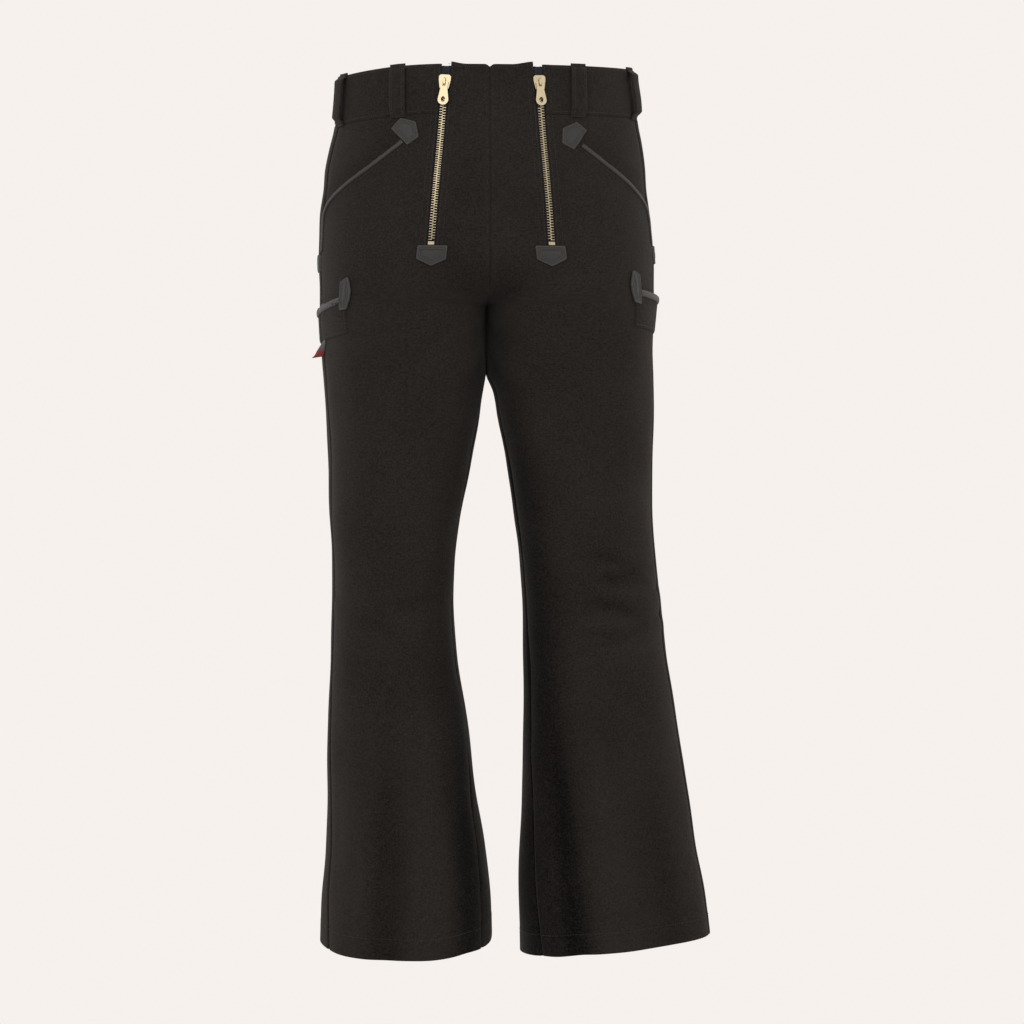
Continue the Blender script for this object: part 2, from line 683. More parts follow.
def thread_material(name, color):
    return surface_material(
        name, color,
        lambda tree: grain(tree, False, 1.0, (0.6, 3.0)),
        lambda tree: grain(tree, False, 0.8, (0.2, 1.0)),
        lambda tree: noise(tree, False, 7.0), 0.05, Sheen_Weight=0.2, Specular_IOR_Level=0.3)


def woven_material(name, color, ribs):
    def height(tree):
        fuzz = grain(tree, True, 0.5, (0.4, 3.0))
        warp, weft = rib(tree, (0, ribs)), rib(tree, (1, 11.0))
        return weighted(tree, fuzz, (warp, 0.3, 0.0), (weft, 0.2, 0.0))

    return surface_material(
        name, color,
        lambda tree: grain(tree, True, 1.0, (0.3, 0.3, 3), (0.4, 2.0)),
        lambda tree: grain(tree, True, 0.88, (0.15, 0.5)), height, 0.12,
        Sheen_Weight=0.15, Specular_IOR_Level=0.25)


cloth = cloth_material("cloth_brushed_cotton", (0.0128, 0.0108, 0.0096))
leather = leather_material("leather_suede", (0.0145, 0.0136, 0.0121))
brass = brass_material("brass_polished", (0.42, 0.355, 0.235))
tape = woven_material("zip_tape_navy", (0.009, 0.0098, 0.0155), 7.0)
thread = thread_material("thread_brown", (0.008, 0.007, 0.0065))
leather_thread = thread_material("thread_grey", (0.012, 0.011, 0.010))
tab_grey = woven_material("tab_grey", (0.045, 0.045, 0.048), 9.0)
tab_red = woven_material("tab_red", (0.13, 0.010, 0.014), 9.0)

# ---------- cloth pieces ----------

BAND_ROWS, HIP_ROWS, MOUTH_ROWS, LEG_ROWS = 12, 13, 15, 178
FLAP_COLUMNS, SLIT_COLUMNS, FRONT_COLUMNS = 17, 3, 34
END_ROWS = 2 * len(EDGE_STEPS) - 2  # that fine steps at both ends add to a span
TUCK_HEIGHT, TUCK_DEPTH = 4, 1.4  # of the panels' tops under the waistband
SETTLING_ROUNDS = 6


def finish_sheet(obj, node_name, z, s, keep=None):
    """A sheet of cloth hung from the waist, with the rectangle that it is cut out of."""
    finish_piece(obj, [node_name])
    area = cloth_area(z, s, keep)


def crotch_levels(start, count):
    """Heights down to the crotch point, closer near it, where the seam turns under."""
    share = np.linspace(0, 1, count)[1:]
    return start - (start - CROTCH_Z) * (0.6 * np.sin(share * math.pi / 2) + 0.4 * share)


def flap_top(s):
    return FLAP_CORNER_RISE * smoothstep(s, 25, 50) - FLAP_NOTCH * (1 - smoothstep(s, 0, 5))


def tucked(z):
    """How far the panels lie back under the waistband."""
    return -TUCK_DEPTH * smoothstep(z, -BAND_HALF - 0.5, -BAND_HALF + 1)


def panel_wear(z, edge):
    return 0.35 * bump(edge - 3, 2) + 0.2 * bump(z - HEM_Z, 3)


def front_panel(side):
    share = ZIP_END[side] / side_seam(side, ZIP_END_Z)

    def columns(z):
        """Three spans: up to the slit, the slit, and on to the side seam."""
        zip_s = np.where(z > ZIP_END_Z, zip_line(side, z), share * side_seam(side, z))
        start, end = zip_s - SLIT_HALF, zip_s - SLIT_HALF + 2 * SLIT_HALF
        return np.concatenate([
            between(0 * z, start, FLAP_COLUMNS), between(start, end, SLIT_COLUMNS, False)[:, 1:-1],
            between(end, side_seam(side, z), FRONT_COLUMNS)], 1)

    def levels(s, zip_s):
        """Every row's height at distances s: flap, hip, under the mouth, crotch, leg."""
        s = np.asarray(s, float)
        flat = np.zeros(s.shape)
        top = np.where(s < zip_s, BAND_HALF + flap_top(s), BAND_HALF)
        hip = np.where(s < zip_s, -BAND_HALF, -BAND_HALF + TUCK_HEIGHT)
        mouth = mouth_z(s)
        crotch = crotch_levels(ZIP_END_Z, 34)
        return np.concatenate([
            between(top, flat - BAND_HALF, BAND_ROWS)[:, :-1],
            between(hip, mouth, HIP_ROWS)[:, :-1],
            between(mouth, flat + ZIP_END_Z, MOUTH_ROWS)[:, :-1],
            np.repeat(ZIP_END_Z, s.size)[:, None], np.repeat(crotch[None], s.size, 0),
            between(flat + CROTCH_Z, flat + HEM_Z, LEG_ROWS)[:, 1:]], 1)

    z = levels(np.array([50.0]), np.array([60.0])).T
    count, width = len(z), columns(np.array([0.0])).shape[1]
    z = np.repeat(z, width, 1)
    # Heights follow from distances and distances from heights, so they are found in rounds.
    for _ in range(SETTLING_ROUNDS):
        s = columns(z[:, 0])
        for column in range(width):
            s[:, column] = columns(z[:, column])[:, column]
        z = np.stack([levels(s[:, c], zip_line(side, z[:, c]))[np.arange(count), np.arange(count)]
                      for c in range(width)], 1)
    middle_z = (z[:-1, :-1] + z[1:, 1:]) / 2
    middle_s = (s[:-1, :-1] + s[1:, 1:]) / 2
    apart = middle_s - np.where(middle_z > ZIP_END_Z, zip_line(side, middle_z), -1e3)
    slit = np.abs(apart) < SLIT_HALF
    on_band = (np.arange(count - 1)[:, None] < BAND_ROWS + END_ROWS) & (apart > 0)
    keep = ~(slit | on_band)
    beside_slit = np.abs(s - zip_line(side, z)) - SLIT_HALF
    wear = panel_wear(z, np.minimum(s, side_seam(side, z) - s))
    wear += 0.7 * bump(beside_slit - 0.6, 1.2) * (z > ZIP_END_Z)
    wear += 0.5 * bump(z - BAND_HALF - flap_top(s), 1.5)
    obj = shell(f"{side}_front_panel_cloth", side, z, s, tucked(z) * (s > zip_line(side, z)),
                CLOTH, cloth, keep, wear=wear, nap=nap(side, z, s))
    finish_sheet(obj, f"{side}_front_panel", z, s, keep)


def back_panel(side):
    rows = np.concatenate([
        between([-BAND_HALF + TUCK_HEIGHT], [BACK_CROTCH_START], 26)[0],
        crotch_levels(BACK_CROTCH_START, 40), between([CROTCH_Z], [HEM_Z], LEG_ROWS)[0][1:]])
    s = between(side_seam(side, rows), back_seam(side, rows), 62)
    z = np.broadcast_to(rows[:, None], s.shape)
    wear = panel_wear(z, np.minimum(s - side_seam(side, z), back_seam(side, z) - s))
    obj = shell(f"{side}_back_panel_cloth", side, z, s, tucked(z), CLOTH, cloth,
                wear=wear, nap=nap(side, z, s))
    finish_sheet(obj, f"{side}_back_panel", z, s)


BAND_OUT, BAND_THICKNESS = 0.5, 1.8


def waistband(side):
    rows = between([BAND_HALF], [-BAND_HALF], 13)[0]
    s = between(zip_line(side, rows) + SLIT_HALF, back_seam(side, rows), 110)
    z = np.broadcast_to(rows[:, None], s.shape)
    from_top, from_front = BAND_HALF - z, s - s[:, :1]
    rolled = 0.8 * (bump(from_top, 0.8) + bump(from_front, 0.8)) + 0.5 * bump(BAND_HALF + z, 1.6)
    wear = 0.8 * bump(from_top - 0.6, 1.3) + 0.7 * bump(from_front - 0.6, 1.3)
    wear += 0.3 * bump(from_top - 5, 1.5)
    obj = shell(f"{side}_waistband_cloth", side, z, s, BAND_OUT - rolled, BAND_THICKNESS, cloth,
                wear=wear)
    finish_sheet(obj, f"{side}_waistband", z, s)


# Belt loops: where their middle is, and how far they stand off.
LOOP_HALF, LOOP_TOP, LOOP_BOTTOM, LOOP_END, LOOP_THICKNESS = 9.2, 30.0, -31.0, 0.16, 1.6
LOOPS = {
    "front_loop": (lambda side, z: {"right": 106.5, "left": 104.0}[side] + 0 * z, 3.2),
    "side_loop": (lambda side, z: side_seam(side, z) - 7, 6.6),
    "back_loop": (lambda side, z: back_seam(side, z) - 108, 3.2),
}
LOOP_BASE, CENTRE_LOOP_BASE, CENTRE_LOOP_STAND = BAND_OUT + 0.4, BAND_OUT + 0.9, 3.2


def loop_lift(t):
    """How far off a loop is, from 0 at its sewn ends to 1; t runs from 0 to 1 down the loop."""
    return smoothstep(t, 0.04, LOOP_END) * smoothstep(1 - t, 0.04, LOOP_END)


def loop_grid(base, stand):
    """A loop's heights, distances from its middle, stand-off and wear."""
    t = between([0.0], [1000.0], 40)[0] / 1000
    z = LOOP_TOP + (LOOP_BOTTOM - LOOP_TOP) * t
    across = between([-LOOP_HALF], [LOOP_HALF], 10)[0]
    t, across = t[:, None] + 0 * across, across + 0 * t[:, None]
    edge = np.minimum(LOOP_HALF - np.abs(across), (LOOP_TOP - LOOP_BOTTOM) * np.minimum(t, 1 - t))
    rolled = 0.75 * bump(edge, 0.7) - 0.3 * bump(across, 3.4)
    wear = 0.9 * bump(edge - 0.6, 1.1) + 0.25 * bump(LOOP_HALF - np.abs(across) - 3.4, 0.9)
    out = base + stand * loop_lift(t) + LOOP_THICKNESS - rolled
    return np.broadcast_to(z[:, None], t.shape), across, out, wear


def belt_loop(side, name, place, stand):
    z, across, out, wear = loop_grid(LOOP_BASE, stand)
    s = place(side, z) + across
    obj = shell(f"{side}_{name}_cloth", side, z, s, out, LOOP_THICKNESS, cloth, wear=wear)
    finish_sheet(obj, f"{side}_{name}", z, s)


def across_back(z, across, out):
    """Points across the centre back seam: negative distances lie on the wearer's right."""
    right = cloth_at("right", z, back_seam("right", z) - np.abs(across), out)
    left = cloth_at("left", z, back_seam("left", z) - np.abs(across), out)
    return np.where((across < 0)[..., None], right, left)


def centre_back_loop():
    z, across, out, wear = loop_grid(CENTRE_LOOP_BASE, CENTRE_LOOP_STAND)
    outer = across_back(z, across, out)
    inner = across_back(z, across, out - LOOP_THICKNESS)
    obj = wall("centre_back_loop_cloth", "right", outer, inner, across, z, cloth, wear=wear)
    finish_sheet(obj, "centre_back_loop", z, across)


def ruler_share(side, across):
    return np.clip((across - RULER_FRONT[side]) / (RULER_BACK - RULER_FRONT[side]), 0, 1)


def ruler_line(side, edge, across):
    """Height of the pocket's upper or lower edge, which falls most at the front."""
    fallen = 1 - np.square(1 - ruler_share(side, across))
    return edge["front"] + RULER_RISE[side] - edge[side] * fallen


def ruler_stand(side, across, depth):
    """How far the pocket gapes: most in the middle of its mouth."""
    gape = np.sin(math.pi * ruler_share(side, across))
    return RULER_STAND[side] * gape * (1 - np.clip(depth, 0, 1)) ** 1.5


def ruler_pocket(side):
    across = between([RULER_FRONT[side]], [RULER_BACK], 40)[0]
    depth = between([0.0], [440.0], 14)[0][:, None] / 440
    top = ruler_line(side, RULER_TOP, across)
    bottom = ruler_line(side, RULER_BOTTOM, across)
    z = top + (bottom - top) * depth
    across = np.broadcast_to(across, z.shape)
    s = side_seam(side, z) + across
    edge = np.minimum(np.minimum(across - RULER_FRONT[side], RULER_BACK - across), z - bottom)
    rolled = bump(edge, 0.8) + 0.35 * bump(edge - 2.6, 0.8) + 0.35 * bump(edge - 7.5, 0.8)
    out = RULER_BASE + CLOTH + 0.35 + ruler_stand(side, across, depth) - rolled
    obj = shell(f"{side}_ruler_pocket_cloth", side, z, s, out, CLOTH, cloth,
                wear=0.9 * bump(edge - 0.7, 1.2))
    finish_sheet(obj, f"{side}_ruler_pocket", z, s)


# ---------- leather ----------


def smooth_route(points, count):
    """A Catmull-Rom curve through points of distance and height."""
    p = np.array(points, float)
    p = np.concatenate([[2 * p[0] - p[1]], p, [2 * p[-1] - p[-2]]])
    steps = np.linspace(0, len(p) - 3, count)
    i = np.minimum(steps.astype(int), len(p) - 4)
    t = (steps - i)[:, None]
    a, b, c, d = p[i], p[i + 1], p[i + 2], p[i + 3]
    cubic = (2 * b, c - a, 2 * a - 5 * b + 4 * c - d, 3 * b - a - 3 * c + d)
    return 0.5 * sum(term * t ** power for power, term in enumerate(cubic))


PIPING_THICKNESS, PIPING_FROM_SEAM = 1.2, 4
MOUTH_PIPING_HALF, MOUTH_PIPING_BELOW = 2.9, 1.9
RULER_PIPING_HALF, RULER_PIPING_BELOW = 3.8, 2.8
PIPING_ACROSS = np.array([-1, -0.93, -0.75, -0.45, -0.1, 0.25, 0.55, 0.8, 0.94, 1])


def mouth_route(side, count):
    """The line of the mouth's piping, and the directions on the cloth that lead down from it."""
    end = MOUTH_PIPING_END[side]
    route = [list(row) for row in MOUTH] + [[float(side_seam(side, end)) - PIPING_FROM_SEAM, end]]
    start = MOUTH_PIPING_START[side]
    route[0] = [a + start * (b - a) for a, b in zip(route[0], route[1])]
    route[4][0] = float(side_seam(side, route[4][1])) - PIPING_FROM_SEAM
    route = smooth_route(route, count)
    direction = np.gradient(route, axis=0)
    direction /= np.linalg.norm(direction, axis=1, keepdims=True)
    return route, np.stack([direction[:, 1], -direction[:, 0]], 1)


def piping_profile(half):
    across = PIPING_ACROSS * half
    crown = 0.55 + 1.35 * np.sqrt(np.maximum(1 - PIPING_ACROSS ** 2, 0)) ** 0.8
    groove = 0.4 * bump(across + half - 1.5, 0.4)
    return across, crown - groove, 0.5 * bump(PIPING_ACROSS, 0.5)


def mouth_piping(side):
    route, down = mouth_route(side, 90)
    across, crown, wear = piping_profile(MOUTH_PIPING_HALF)
    grid = route[:, None] + down[:, None] * (across[None, ::-1, None] + MOUTH_PIPING_BELOW)
    obj = shell(f"{side}_mouth_piping_leather", side, grid[..., 1], grid[..., 0],
                0.2 + crown[::-1], PIPING_THICKNESS, leather, wear=wear)
    finish_piece(obj, [f"{side}_mouth_piping"])


def ruler_piping(side):
    along = between([RULER_FRONT[side] + 9.0], [RULER_BACK], 40)[0][None]
    across, crown, wear = piping_profile(RULER_PIPING_HALF)
    z = ruler_line(side, RULER_TOP, along) - RULER_PIPING_BELOW - across[:, None]
    out = 0.5 + CLOTH + ruler_stand(side, along, 0) + crown[:, None]
    obj = shell(f"{side}_ruler_piping_leather", side, z, side_seam(side, z) + along, out,
                PIPING_THICKNESS, leather, wear=wear[:, None])
    finish_piece(obj, [f"{side}_ruler_piping"])


OUTLINES = {
    "house": [(-12.5, -15), (4, -16.3), (13.8, 0), (4, 16.3), (-12.5, 15)],
    "ruler": [(8.7, -18.5), (8.7, 13.4), (-0.8, 18.5), (-4.2, 18.5), (-8.7, 3), (-7.6, -6),
              (-3.2, -17.5)],
    "lower": [(-12, -6), (-7, -10.5), (7, -10.5), (12, -6), (12, 6), (7, 10.5), (-7, 10.5),
              (-12, 6)],
    "fly": [(-17, -3), (0, -11), (17, -3), (17, 12.2), (-17, 12.2)],
}


def ring(outline, inset, per_edge=7, per_corner=5, radius=1.6):
    """The outline moved inwards, with its corners rounded."""
    p = np.array(outline, float)
    ahead = np.roll(p, -1, 0) - p
    length = np.linalg.norm(ahead, axis=1, keepdims=True)
    ahead /= length
    inwards = np.stack([-ahead[:, 1], ahead[:, 0]], 1)
    before = np.roll(inwards, 1, 0)
    p = p + inset * (inwards + before) / (1 + np.sum(inwards * before, 1, keepdims=True))
    points = []
    for i in range(len(p)):
        following = p[(i + 1) % len(p)]
        room = np.linalg.norm(following - p[i])
        cut = min(radius, 0.35 * room, 0.35 * np.linalg.norm(p[i] - p[i - 1]))
        ahead_cut = min(radius, 0.35 * room)
        back = p[i] - np.roll(ahead, 1, 0)[i] * cut
        front = p[i] + ahead[i] * cut
        for t in np.linspace(0, 1, per_corner, endpoint=False):
            points.append((1 - t) ** 2 * back + 2 * t * (1 - t) * p[i] + t * t * front)
        stop = following - ahead[i] * ahead_cut
        for t in np.linspace(0, 1, per_edge, endpoint=False):
            points.append(front + (stop - front) * t)
    return np.array(points)


# A patch from its edge inwards, as inset and height, then its middle, as share of the last ring.
PATCH_PROFILE = [(0, -0.6), (0, 0.8), (0.25, 1.3), (0.7, 1.62), (1.3, 1.66), (1.9, 1.5),
                 (2.3, 1.3), (2.6, 1.25), (2.9, 1.3), (3.3, 1.5), (3.8, 1.6), (4.3, 1.5),
                 (4.7, 1.3), (5.0, 1.25), (5.3, 1.3), (5.8, 1.52), (6.5, 1.65)]
PATCH_MIDDLE = [(0.6, 1.75), (0.25, 1.85), (0.02, 1.85)]
PATCH_SEAMS = (2.6, 5.0)


def turned(points, degrees):
    a = math.radians(degrees)
    return points @ np.array([[math.cos(a), math.sin(a)], [-math.sin(a), math.cos(a)]])


def patch(side, name, outline, level, middle, base, turn=0.0):
    """A sewn-on leather patch with a raised edge, two sunken seams and a soft middle."""
    def inner_ring(inset):
        return turned(ring(OUTLINES[outline], inset), turn)

    rings = [inner_ring(inset) for inset, _ in PATCH_PROFILE]
    last, centre = rings[-1], rings[-1].mean(0)
    rings += [centre + (last - centre) * share for share, _ in PATCH_MIDDLE]
    heights = np.array([height for _, height in PATCH_PROFILE + PATCH_MIDDLE])[:, None]
    wear = [math.exp(-((inset - 0.5) / 0.8) ** 2) for inset, _ in PATCH_PROFILE]
    wear += [0.0] * len(PATCH_MIDDLE)
    flat = np.array(rings)
    z = level + flat[..., 1]
    points = cloth_at(side, z, middle(z) + flat[..., 0], base + heights)
    rows, columns = z.shape
    index = np.arange(rows * columns).reshape(rows, columns)
    after = np.roll(index, -1, 1)
    faces = np.stack([index[:-1], after[:-1], after[1:], index[1:]], -1).reshape(-1, 4)
    if SIGN[side] < 0:
        faces = faces[:, ::-1]
    obj = make_object(f"{side}_{name}_leather", points.reshape(-1, 3), faces.tolist(), leather)
    paint(obj, "wear", np.repeat(wear, columns))
    finish_piece(obj, [f"{side}_{name}"])
    for inset in PATCH_SEAMS:
        path = inner_ring(inset)
        path = np.concatenate([path, path[:1]])
        z = level + path[:, 1]
        sew(f"{side}_leather_stitches", side, z, middle(z) + path[:, 0], base + 1.27, 2.6, 1.9)


# The ribbon's front and rear edge: place at the top, place and stand-off at the lower end.
TAB_FRONT, TAB_REAR = (-17.0, -9.0, 2.5), (-6.0, 1.0, 14.5)
TAB_LENGTH, TAB_WIDTH, TAB_THICKNESS, TAB_RED_SHARE = 18.5, 11.0, 0.9, 0.44


def label_tab(side):
    """A bare ribbon, sewn into the seam under the ruler pocket: grey above and red below."""
    along = between([0.0], [TAB_LENGTH], 16)[0][:, None] / TAB_LENGTH
    over = between([0.0], [TAB_WIDTH], 6)[0][None] / TAB_WIDTH
    front, rear = np.array(TAB_FRONT), np.array(TAB_REAR)
    edge = front + (rear - front) * over[..., None]
    across = edge[..., 0] + (edge[..., 1] - edge[..., 0]) * along
    z = ruler_line(side, RULER_BOTTOM, across) - 0.3 - along * TAB_LENGTH
    s = side_seam(side, z) + across
    out = 1.3 + edge[..., 2] * along - 0.8 * np.sin(along * math.pi)
    obj = shell("label_tab_ribbon", side, z, s, out, TAB_THICKNESS, tab_grey)
    obj.data.materials.append(tab_red)
    lower = float(z.min() + TAB_RED_SHARE * TAB_LENGTH) * MM
    for polygon in obj.data.polygons:
        polygon.material_index = int(polygon.center.z < lower)
    finish_sheet(obj, "label_tab", z, s)


# ---------- zips ----------

TAPE_FACE, TAPE_THICKNESS = -2.3, 0.9
TAPE_TOP, TAPE_END = 26.0, -194.0
TAPE_SLIT_TOP, TAPE_SLIT_END = 18, -186  # heights between which its two halves are parted
TAPE_ACROSS = np.array([1.9, 3.0, 3.9, 4.8, 5.6, 8, 11, 13, 14])
CHAIN_TOP, CHAIN_BOTTOM, CHAIN_FACE = 3.5, -186.0, 0.8
TOOTH_PITCH = 3.03
TOOTH = np.array([(-3.6, -0.5), (-3.6, 0.5), (-1.5, 0.5), (-0.9, 0.66), (0.35, 0.66),
                  (0.75, 0.33), (0.75, -0.33), (0.35, -0.66), (-0.9, -0.66), (-1.5, -0.5)])


def zip_tape(side):
    z = between([TAPE_TOP], [TAPE_END], 58)[0][:, None]
    across = np.concatenate([-TAPE_ACROSS[::-1], TAPE_ACROSS])
    z, across = z + 0 * across, across + 0 * z
    cord = 1.5 * (1 - smoothstep(np.abs(across), 4.0, 5.0)) * smoothstep(np.abs(across), 1.9, 2.8)
    points = surface(side, z, zip_line(side, z) + across)
    normal = outward(side, z, zip_line(side, z) + across)
    outer = points + normal * (TAPE_FACE + cord)[..., None]
    inner = points + normal * (TAPE_FACE - TAPE_THICKNESS)
    keep = np.ones((z.shape[0] - 1, z.shape[1] - 1), bool)
    parted = (z[:-1, 0] < TAPE_SLIT_TOP) & (z[:-1, 0] > TAPE_SLIT_END)
    keep[parted, len(TAPE_ACROSS) - 1] = False
    obj = wall(f"{side}_zip_tape_woven", side, outer, inner, across, z, tape, keep)
    finish_sheet(obj, f"{side}_zip_tape", z, across, keep)


def zip_teeth(side):
    """Two rows of bevelled teeth that lock into each other along the zip's line."""
    shrunk = TOOTH * [0.94, 0.7] + [-0.1, 0]
    layers = [(TOOTH, CHAIN_FACE - 2.2), (TOOTH, CHAIN_FACE - 0.5),
              ((TOOTH + shrunk) / 2, CHAIN_FACE - 0.12), (shrunk, CHAIN_FACE)]
    corners = len(TOOTH)
    loop = np.arange(corners)
    following = (loop + 1) % corners
    points, faces = [], []
    for k in range(int((CHAIN_TOP - CHAIN_BOTTOM) / TOOTH_PITCH)):
        for hand in (-1, 1):
            centre = CHAIN_TOP - 1.2 - (k + 0.25 + 0.25 * hand) * TOOTH_PITCH
            base = len(points) * corners
            for outline, out in layers:
                z = centre + outline[:, 1]
                s = zip_line(side, z) - hand * outline[:, 0]
                points.append(surface(side, z, s) + outward(side, z, s) * out)
            for level in range(len(layers) - 1):
                a, b = base + level * corners, base + (level + 1) * corners
                faces += np.stack([a + loop, a + following, b + following, b + loop], 1).tolist()
            faces.append((base + (len(layers) - 1) * corners + loop).tolist())
    obj = make_object(f"{side}_zip_teeth_brass", np.concatenate(points), faces, brass)
    turn_outwards(obj)
    obj.data.set_sharp_from_angle(angle=math.radians(50))
    finish_piece(obj, [f"{side}_zip_chain"])


def turn_outwards(obj):
    work = bmesh.new()
    work.from_mesh(obj.data)
    bmesh.ops.recalc_face_normals(work, faces=work.faces)
    work.to_mesh(obj.data)
    work.free()


def softened(node_name, width, body=BODY):
    """A metal piece with the node's form and rounded edges."""
    obj = bpy.data.objects.new(f"{node_name}_brass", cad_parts[node_name].data.copy())
    bpy.context.scene.collection.objects.link(obj)
    obj.data.materials.clear()
    obj.data.materials.append(brass)
    work = bmesh.new()
    work.from_mesh(obj.data)
    bmesh.ops.remove_doubles(work, verts=work.verts, dist=1e-6)
    bmesh.ops.dissolve_limit(work, angle_limit=math.radians(2), verts=work.verts, edges=work.edges)
    work.to_mesh(obj.data)
    work.free()
    bevel = obj.modifiers.new("edges", "BEVEL")
    bevel.width = width * MM
    bevel.segments = 3
    bevel.limit_method = "ANGLE"
    bevel.angle_limit = math.radians(35)
    bevel.use_clamp_overlap = True
    obj.data.polygons.foreach_set("use_smooth", np.full(len(obj.data.polygons), True))
    obj.data.set_sharp_from_angle(angle=math.radians(40))
    finish_piece(obj, [node_name], body)


# ---------- stitches ----------

THREADS = {}
ON_CLOTH = 0.02
# Rings of a stitch: place along it, radius and height; places are shares of the stitch's length.
STITCH = [(-0.5, 0.07, -0.16), (-0.3, 0.22, 0.04), (0.0, 0.25, 0.1), (0.3, 0.22, 0.04),
          (0.5, 0.07, -0.16)]
STITCH_SIDES = 5
UNEVEN = 0.08  # spread of the stitches' lengths

def sew(name, side, z, s, out, pitch=3.1, length=2.3, points=None):
    """One line of stitches along a path on the cloth, kept until the thread's mesh is made."""
    z, s = np.broadcast_arrays(np.asarray(z, float), np.asarray(s, float))
    path = cloth_at(side, z, s, out) if points is None else points
    normal = outward(side, z, s)
    along = np.concatenate([[0], np.cumsum(np.linalg.norm(np.diff(path, axis=0), axis=1))])
    centres = np.arange(pitch / 2, along[-1], pitch)

    def read(values, offset=0.0):
        return np.stack([np.interp(centres + offset, along, values[:, k]) for k in range(3)], 1)

    direction = read(path, 0.5) - read(path, -0.5)
    direction /= np.maximum(np.linalg.norm(direction, axis=1, keepdims=True), 1e-9)
    THREADS.setdefault(name, []).append((read(path), direction, read(normal), length))


def make_threads():
    """The mesh of every thread, with a small random spread in the length of its stitches."""
    angles = np.linspace(0, 2 * math.pi, STITCH_SIDES, endpoint=False) + 0.3
    template = np.array([(a, r * math.cos(t), h + r * math.sin(t))
                         for a, r, h in STITCH for t in angles])
    loop = np.arange(STITCH_SIDES)
    ring_cells = np.stack([loop, (loop + 1) % STITCH_SIDES,
                           (loop + 1) % STITCH_SIDES + STITCH_SIDES, loop + STITCH_SIDES], 1)
    cells = np.concatenate([ring_cells + k * STITCH_SIDES for k in range(len(STITCH) - 1)])
    for name, lines in THREADS.items():
        points, faces, start = [], [], 0
        for centre, direction, up, length in lines:
            side = np.cross(up, direction)
            longer = 1 + UNEVEN * rng.standard_normal((len(centre), 1, 1))
            where = (centre[:, None] + template[:, :1] * length * longer * direction[:, None]
                     + template[:, 1:2] * side[:, None] + template[:, 2:] * up[:, None])
            points.append(where.reshape(-1, 3))
            base = start + np.arange(len(centre))[:, None, None] * len(template)
            faces.append((cells + base).reshape(-1, 4))
            start += len(centre) * len(template)
        is_leather = name.endswith("leather_stitches")
        obj = make_object(name, np.concatenate(points), np.concatenate(faces).tolist(),
                          leather_thread if is_leather else thread)
        finish_piece(obj)


def span(start, end, step=4.0):
    return np.linspace(start, end, max(int(abs(end - start) / step) + 1, 2))


def sew_side(side):
    on_cloth, on_leather = f"{side}_cloth_stitches", f"{side}_leather_stitches"
    # Two lines on both sides of the zip, the flap's top and the band's edges.
    z = span(BAND_HALF - 2, -190)
    for hand in (-1, 1):
        out = (z > -BAND_HALF) * (hand > 0) * BAND_OUT + ON_CLOTH
        for away in (1.8, 7.4):
            sew(on_cloth, side, z, zip_line(side, z) + hand * (SLIT_HALF + away), out)
    s = span(2, 47)
    sew(on_cloth, side, BAND_HALF + flap_top(s) - 3, s, ON_CLOTH)
    for z in (BAND_HALF - 3, -BAND_HALF + 3):
        s = span(float(zip_line(side, z)) + SLIT_HALF + 9, float(back_seam(side, z)) - 1)
        sew(on_cloth, side, z, s, BAND_OUT + ON_CLOTH)
    for place, stand in LOOPS.values():
        sew_loop(on_cloth, side, place, stand, LOOP_BASE)
    # Two lines round the ruler pocket: down its front, along its bottom and up its back.
    for inset in (2.6, 7.5):
        first, last, ends = RULER_FRONT[side] + inset, RULER_BACK - inset, 12
        bottom = span(first, last)
        across = np.concatenate([np.full(ends, first), bottom, np.full(ends, last)])
        share = np.concatenate([np.linspace(0.02, 1, ends), np.ones(len(bottom)),
                                np.linspace(1, 0.02, ends)])
        high = ruler_line(side, RULER_TOP, across)
        low = ruler_line(side, RULER_BOTTOM, across) + inset
        z = high + (low - high) * share
        depth = (high - z) / (high - low + inset)
        sew(on_cloth, side, z, side_seam(side, z) + across,
            RULER_BASE + CLOTH + ruler_stand(side, across, depth) + ON_CLOTH)
    # The front pocket's mouth and both pipings.
    route, down = mouth_route(side, 60)
    under = (route + down * 7.2)[:44]
    sew(on_cloth, side, under[:, 1], under[:, 0], ON_CLOTH)
    groove = route + down * (MOUTH_PIPING_BELOW - 1.4)
    sew(on_leather, side, groove[:, 1], groove[:, 0], 1.7, 2.8, 2.0)
    across = span(RULER_FRONT[side] + 10, RULER_BACK - 1)
    z = ruler_line(side, RULER_TOP, across) - RULER_PIPING_BELOW - 2.3
    sew(on_leather, side, z, side_seam(side, z) + across,
        0.5 + CLOTH + ruler_stand(side, across, 0) + 1.5, 2.8, 2.0)
    # The hem and the seat seam.
    z = HEM_Z + 25
    sew(on_cloth, side, z, np.linspace(1, float(back_seam(side, z)) - 1, 160), ON_CLOTH)
    z = span(-BAND_HALF - 2, -200)
    for away in (2.5, 8.0):
        sew(on_cloth, side, z, back_seam(side, z) - away, ON_CLOTH)


